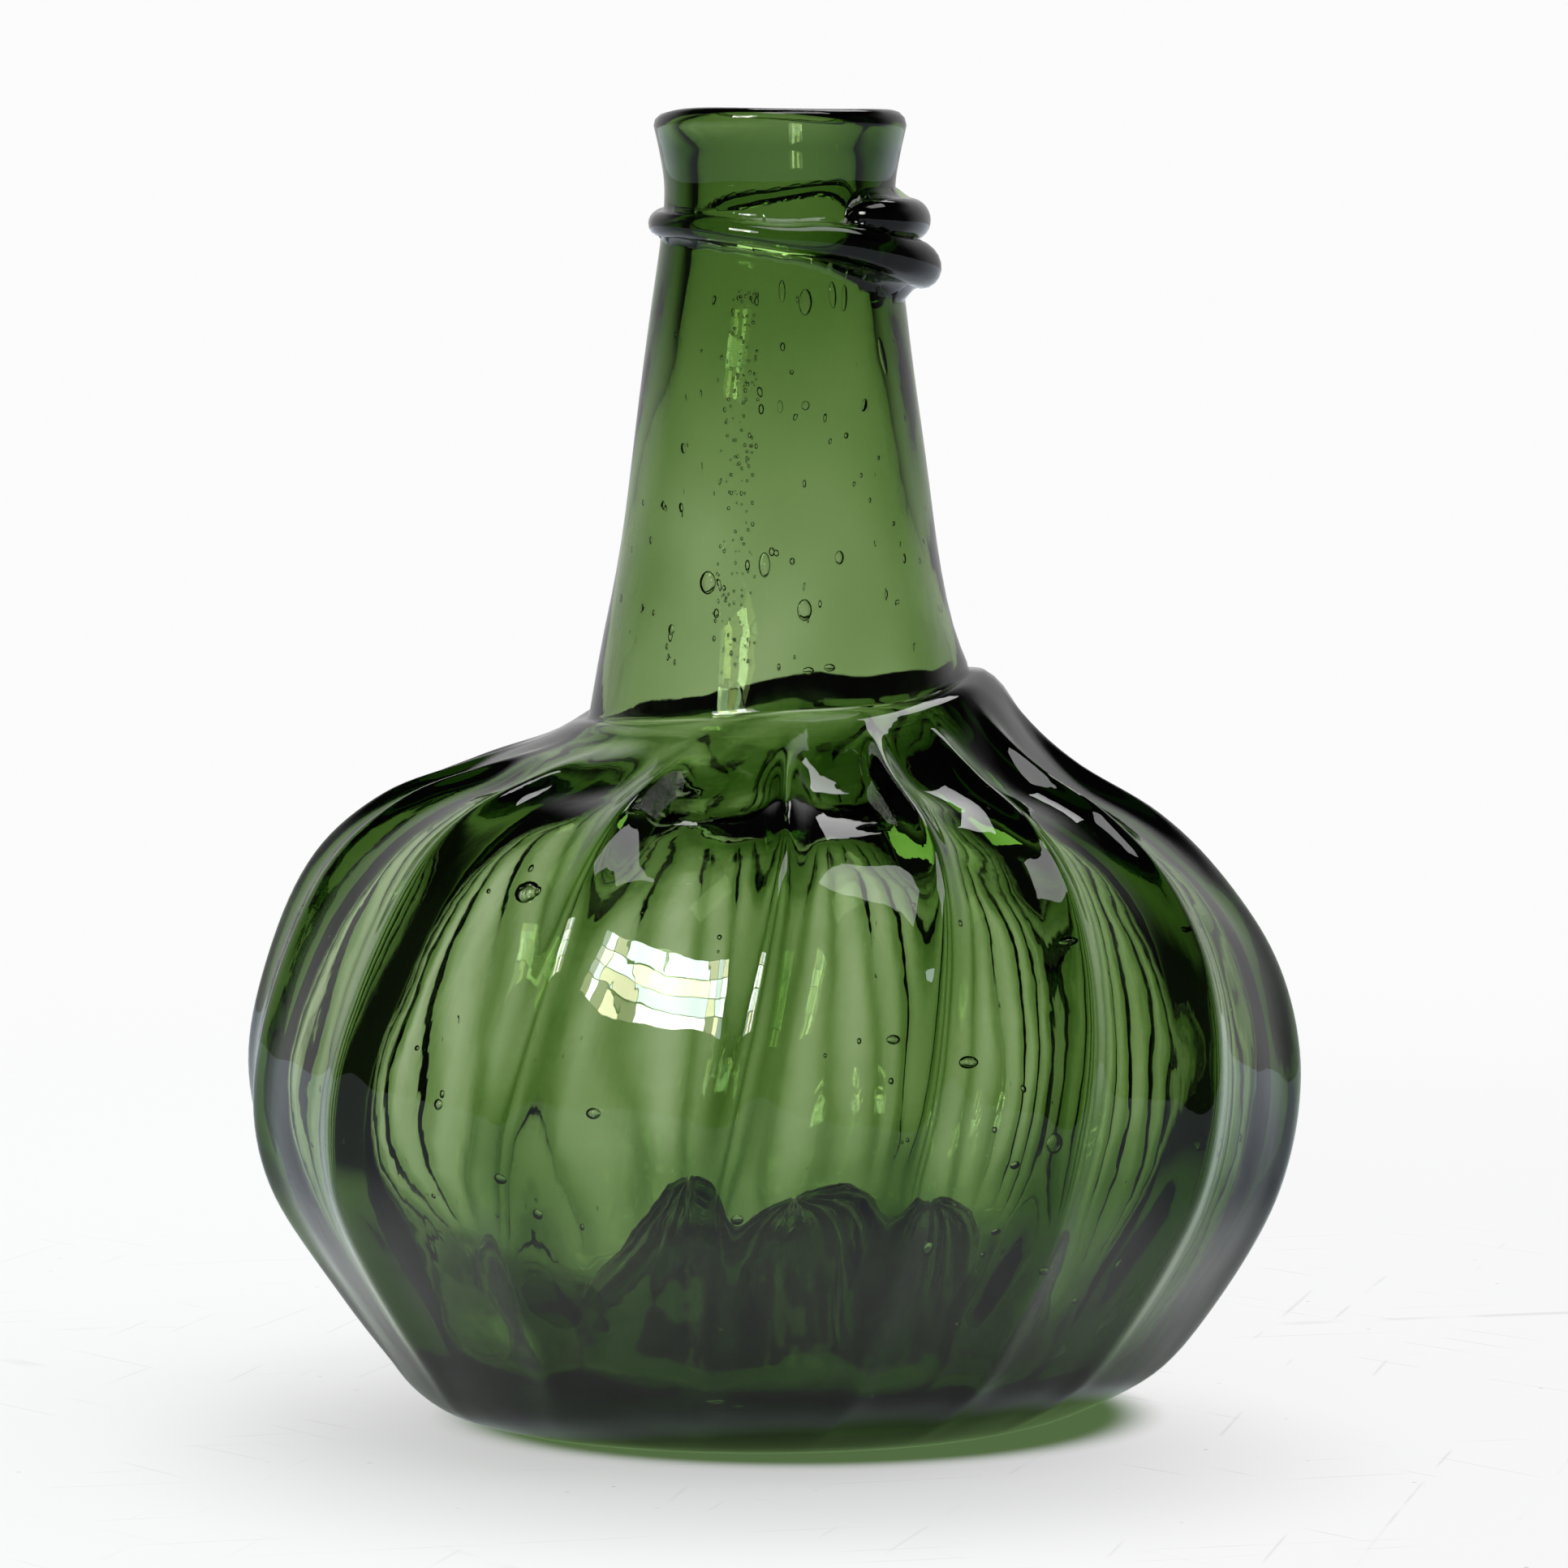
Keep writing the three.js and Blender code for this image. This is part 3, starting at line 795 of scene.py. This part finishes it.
# Green glass. Each colour is lost at its own rate, in parts per metre of glass. Streaks and
# dimples have scales to the metre and depths in metres.
glassLook = {
    "loss": (266, 189, 365),
    "density": 400,
    "ior": 1.52,
    "striaSwirl": 2.7,
    "striaScale": 620,
    "striaStretch": 0.05,
    "striaDepth": 0.000011,
    "dimpleScale": 95,
    "dimpleDepth": 0.00016,
    "detail": 1.5,
}


def glassMaterial():
    # Clear glass that loses light inside: each colour's loss is the density times what its
    # value lacks of 1.
    material = bpy.data.materials.new("greenGlass")
    material.use_nodes = True
    tree = material.node_tree
    surface = tree.nodes["Principled BSDF"]
    surface.inputs["Base Color"].default_value = (1, 1, 1, 1)
    surface.inputs["Roughness"].default_value = 0.0
    surface.inputs["IOR"].default_value = glassLook["ior"]
    surface.inputs["Transmission Weight"].default_value = 1
    # Fine streaks that follow the swirl of the ribs: noise squeezed across and drawn out
    # along them, over a coarser unevenness of the skin.
    place = tree.nodes.new("ShaderNodeTexCoord").outputs["Object"]
    swirl = calc(tree, "MULTIPLY", apart(tree, place)["Z"], -glassLook["striaSwirl"])
    drawn = squeeze(tree, twist(tree, place, swirl), (1, 1, glassLook["striaStretch"]))
    normal = None
    for source, kind in ((place, "dimple"), (drawn, "stria")):
        bump = tree.nodes.new("ShaderNodeBump")
        bump.inputs["Distance"].default_value = glassLook[kind + "Depth"]
        grain = noise(tree, source, glassLook[kind + "Scale"], glassLook["detail"])
        tree.links.new(grain, bump.inputs["Height"])
        if normal:
            tree.links.new(normal, bump.inputs["Normal"])
        normal = bump.outputs[0]
    tree.links.new(normal, surface.inputs["Normal"])
    absorb = tree.nodes.new("ShaderNodeVolumeAbsorption")
    kept = (1 - rate / glassLook["density"] for rate in glassLook["loss"])
    absorb.inputs["Color"].default_value = (*kept, 1)
    absorb.inputs["Density"].default_value = glassLook["density"]
    tree.links.new(absorb.outputs[0], tree.nodes["Material Output"].inputs["Volume"])
    return material


glass = makeBottle()
glass.data.materials.append(glassMaterial())
print("glass coloured")

# Table and backdrop: one pale plane that turns into the white of the backdrop. Distances
# are in metres from the middle of the bottle, unless a middle is given.
table = {
    "half": 6,  # of its width
    "colour": (0.8, 0.83, 0.82),
    "roughness": 0.55,
    # The glow that the camera sees: dimmer where the bottle shades it, and white far off.
    "shade": 0.69,
    "openWhite": 0.93,
    "shadeMiddle": (0, -0.046),
    "shadeFrom": 0.03,
    "shadeBy": 0.096,
    "white": 0.97,
    "whiteFrom": 0.25,
    "whiteBy": 0.75,
    # How much of what is seen is glow, and not lit table, at the left and the right.
    "liftLeft": 0.68,
    "liftRight": 0.94,
    "liftWidth": 0.06,
    # The glow that the glass mirrors: dim in front, bright behind. The outer face mirrors
    # a wider and cooler one.
    "front": 0.03,
    "back": 0.9,
    "behindFrom": 0.5,
    "behindBy": 0.92,
    "outer": 0.36,
    "wideFrom": 0.1,
    "wideBy": 0.7,
    "cool": (0.92, 1, 1.09),
    "mirrorFrom": 0.06,
    "mirrorBy": 0.16,
    # Painted green light round the foot in place of light through the glass, and how much brighter
    # it is seen through the glass.
    "green": (0.085, 0.145, 0.055),
    "greenMiddle": (0.004, -0.005),
    "greenFrom": 0.0435,
    "greenBy": 0.0535,
    "under": 1.7,
}

# Scratches and specks: scales to the metre, and the rest as values of the noises.
marks = {
    "scratch": 0.13,
    "scale": 60,
    "detail": 0,
    "stretch": 0.035,
    "width": 0.012,
    "turns": (14, -38, 75),
    "brokenScale": 26,
    "brokenDetail": 2,
    "brokenFrom": 0.54,
    "brokenBy": 0.64,
    "speck": 0.5,
    "speckScale": 150,
    "speckSize": 0.08,
    "speckShare": 0.75,
    "fadeFrom": 0.15,
    "fadeBy": 0.3,
}


def tableMarks(tree, place, away):
    # How bright the table is left: scratches where a drawn-out noise is near its middle
    # value, broken by another noise, and specks near the middle of some cells.
    left = 1.0
    for turn in marks["turns"]:
        turned = twist(tree, place, math.radians(turn))
        drawn = squeeze(tree, turned, (1, marks["stretch"], 1))
        wander = noise(tree, drawn, marks["scale"], marks["detail"])
        wander = calc(tree, "SUBTRACT", wander, 0.5)
        narrow = ramp(tree, calc(tree, "ABSOLUTE", wander), 0, marks["width"], 1, 0)
        gaps = noise(tree, turned, marks["brokenScale"], marks["brokenDetail"])
        broken = ramp(tree, gaps, marks["brokenFrom"], marks["brokenBy"], 0, marks["scratch"])
        line = calc(tree, "MULTIPLY", broken, narrow)
        left = calc(tree, "MULTIPLY", left, calc(tree, "SUBTRACT", 1.0, line))
    cells = tree.nodes.new("ShaderNodeTexVoronoi")
    cells.inputs["Scale"].default_value = marks["speckScale"]
    tree.links.new(place, cells.inputs["Vector"])
    drawn = tree.nodes.new("ShaderNodeSeparateColor")
    tree.links.new(cells.outputs["Color"], drawn.inputs[0])
    some = calc(tree, "GREATER_THAN", drawn.outputs[0], marks["speckShare"])
    speck = ramp(tree, cells.outputs["Distance"], 0, marks["speckSize"], marks["speck"], 0)
    speck = calc(tree, "MULTIPLY", speck, some)
    left = calc(tree, "MULTIPLY", left, calc(tree, "SUBTRACT", 1.0, speck))
    faded = ramp(tree, away, marks["fadeFrom"], marks["fadeBy"])
    return blend(tree, faded, left, 1.0)


def tableMaterial():
    # A matt table mixed with a glow of its own. The glow goes by what looks at it: the
    # camera, a mirroring face of the glass, or a matt surface, which it doesn't light.
    material = bpy.data.materials.new("paleTable")
    material.use_nodes = True
    tree = material.node_tree
    surface = tree.nodes["Principled BSDF"]
    surface.inputs["Base Color"].default_value = (*table["colour"], 1)
    surface.inputs["Roughness"].default_value = table["roughness"]
    surface.inputs["Specular IOR Level"].default_value = 0
    camera, mirrored, outer, matt = pathShares(tree)
    place = tree.nodes.new("ShaderNodeTexCoord").outputs["Object"]
    split = apart(tree, place)
    away = awayFrom(tree, place, (0, 0))
    # Strength of the glow, less at the marks.
    shade = ramp(tree, awayFrom(tree, place, table["shadeMiddle"]),
                 table["shadeFrom"], table["shadeBy"], table["shade"], table["openWhite"])
    white = ramp(tree, away, table["whiteFrom"], table["whiteBy"], shade, table["white"])
    ahead = calc(tree, "DIVIDE", split["Y"], away)
    behind = ramp(tree, ahead, table["behindFrom"], table["behindBy"],
                  table["front"], table["back"])
    wide = ramp(tree, ahead, table["wideFrom"], table["wideBy"], table["outer"], table["back"])
    shine = blend(tree, mirrored, white, blend(tree, outer, behind, wide))
    shine = calc(tree, "MULTIPLY", shine, tableMarks(tree, place, away))
    # Share of the glow.
    lift = ramp(tree, split["X"], 0, table["liftWidth"], table["liftLeft"], table["liftRight"])
    far = ramp(tree, away, table["whiteFrom"], table["whiteBy"], lift, 1)
    near = ramp(tree, away, table["mirrorFrom"], table["mirrorBy"])
    share = blend(tree, mirrored, far, near)
    # Round the foot the light that comes through the glass is painted as a green glow, brighter
    # seen through the glass.
    outsideGreenLight = ramp(tree, awayFrom(tree, place, table["greenMiddle"]),
                 table["greenFrom"], table["greenBy"])
    glow = tree.nodes.new("ShaderNodeEmission")
    cool = tinge(tree, outer, (1, 1, 1), table["cool"])
    tree.links.new(tinge(tree, outsideGreenLight, table["green"], cool), glow.inputs["Color"])
    under = blend(tree, camera, table["under"], 1.0)
    feed(tree, glow.inputs["Strength"], blend(tree, outsideGreenLight, under, shine))
    share = blend(tree, outsideGreenLight, 1.0, share)
    both = tree.nodes.new("ShaderNodeMixShader")
    feed(tree, both.inputs[0], calc(tree, "MULTIPLY", share, calc(tree, "SUBTRACT", 1.0, matt)))
    tree.links.new(surface.outputs[0], both.inputs[1])
    tree.links.new(glow.outputs[0], both.inputs[2])
    tree.links.new(both.outputs[0], tree.nodes["Material Output"].inputs["Surface"])
    return material


def makeTable():
    # One square at the height that the bottle stands on.
    half = table["half"]
    mesh = bpy.data.meshes.new("table")
    corners = [(-half, -half, 0), (half, -half, 0), (half, half, 0), (-half, half, 0)]
    mesh.from_pydata(corners, [], [(0, 1, 2, 3)])
    mesh.materials.append(tableMaterial())
    piece = bpy.data.objects.new("table", mesh)
    bpy.context.scene.collection.objects.link(piece)
    print("table laid,", 2 * half, "metres wide")


makeTable()

# The studio: white all round for the camera and through the glass, dark high up, and dim
# where a surface mirrors it, bar what lies behind. Angles in degrees above the table.
studio = {
    "white": 0.97,
    "ambient": 1.0,
    "dark": 0.015,
    "darkFrom": 28,
    "darkBy": 46,
    "front": 0.03,
    "back": 0.85,
    "behindFrom": 0.5,
    "behindBy": 0.92,
    "wideBack": 0.55,
    "wideFrom": 0.1,
    "wideBy": 0.7,
}


def makeWorld():
    # Strength of the white by direction: mirrored, it climbs from front to back, and for
    # the outer face from a wider arc.
    world = bpy.data.worlds.new("studio")
    bpy.context.scene.world = world
    world.use_nodes = True
    tree = world.node_tree
    background = tree.nodes["Background"]
    background.inputs["Color"].default_value = (1, 1, 1, 1)
    camera, mirrored, outer, matt = pathShares(tree)
    split = apart(tree, tree.nodes.new("ShaderNodeTexCoord").outputs["Generated"])
    ahead = split["Y"]
    low, high = (math.sin(math.radians(studio[name])) for name in ("darkFrom", "darkBy"))
    up = ramp(tree, split["Z"], low, high)
    behind = ramp(tree, ahead, studio["behindFrom"], studio["behindBy"],
                  studio["front"], studio["back"])
    wide = ramp(tree, ahead, studio["wideFrom"], studio["wideBy"],
                studio["front"], studio["wideBack"])
    around = blend(tree, mirrored, studio["white"], blend(tree, outer, behind, wide))
    seen = blend(tree, matt, blend(tree, up, around, studio["dark"]), studio["ambient"])
    strength = blend(tree, camera, seen, studio["white"])
    feed(tree, background.inputs["Strength"], strength)
    print("studio lit")


makeWorld()

# Lamps: a window-like panel at the left, and two soft ones overhead, behind and above.
# Places and sizes are in metres, power in watts, and panes are how many across and up.
lamps = {
    "window": {"place": (-0.64, -1.066, 0.925), "size": (0.54, 0.46), "power": 12, "panes": (5, 4)},
    "behind": {"place": (0.19, 0.82, 1.3), "size": (0.6, 0.5), "power": 3.4, "panes": (1, 1)},
    "above": {"place": (0.19, -0.24, 1.28), "size": (0.8, 0.46), "power": 3.8, "panes": (1, 1)},
}
panes = {
    "seed": 11,
    "share": 0.94,
    "aimHeight": 0.07,
    "strengths": (0.15, 1.6),
    "tints": ((1, 1, 1), (1, 0.95, 0.62), (0.84, 0.96, 1)),
}


def makeLamps():
    # Each lamp is a grid of panes that face the bottle. The window's panes differ, and
    # it shows only as a reflection.
    rng = np.random.default_rng(panes["seed"])
    for name, lamp in lamps.items():
        place = np.array(lamp["place"])
        across, up = lamp["panes"]
        count = across * up
        aim = np.array([0, 0, panes["aimHeight"]]) - place
        aim /= np.linalg.norm(aim)
        turn = (math.acos(-aim[2]), 0, math.atan2(aim[0], -aim[1]) + math.pi)
        side = np.array([math.cos(turn[2]), math.sin(turn[2]), 0])
        high = np.cross(side, aim)
        wide, tall = lamp["size"][0] / across, lamp["size"][1] / up
        share = panes["share"] if count > 1 else 1
        for k in range(count):
            data = bpy.data.lights.new(name, "AREA")
            data.shape = "RECTANGLE"
            data.size, data.size_y = wide * share, tall * share
            data.energy = lamp["power"] / count
            if count > 1:
                data.energy *= rng.uniform(*panes["strengths"])
                data.color = panes["tints"][rng.integers(len(panes["tints"]))]
            piece = bpy.data.objects.new(name, data)
            bpy.context.scene.collection.objects.link(piece)
            column, row = k % across - (across - 1) / 2, k // across - (up - 1) / 2
            piece.location = place + side * column * wide + high * row * tall
            piece.rotation_euler = turn
            piece.visible_diffuse = count == 1
    print("lamps hung:", ", ".join(lamps))


makeLamps()

scene = bpy.context.scene
scene.view_settings.view_transform = "Standard"
# Light crosses the glass many times, so its paths may be long.
scene.cycles.max_bounces = 32
scene.cycles.transmission_bounces = 24
scene.cycles.glossy_bounces = 16
scene.cycles.transparent_max_bounces = 32
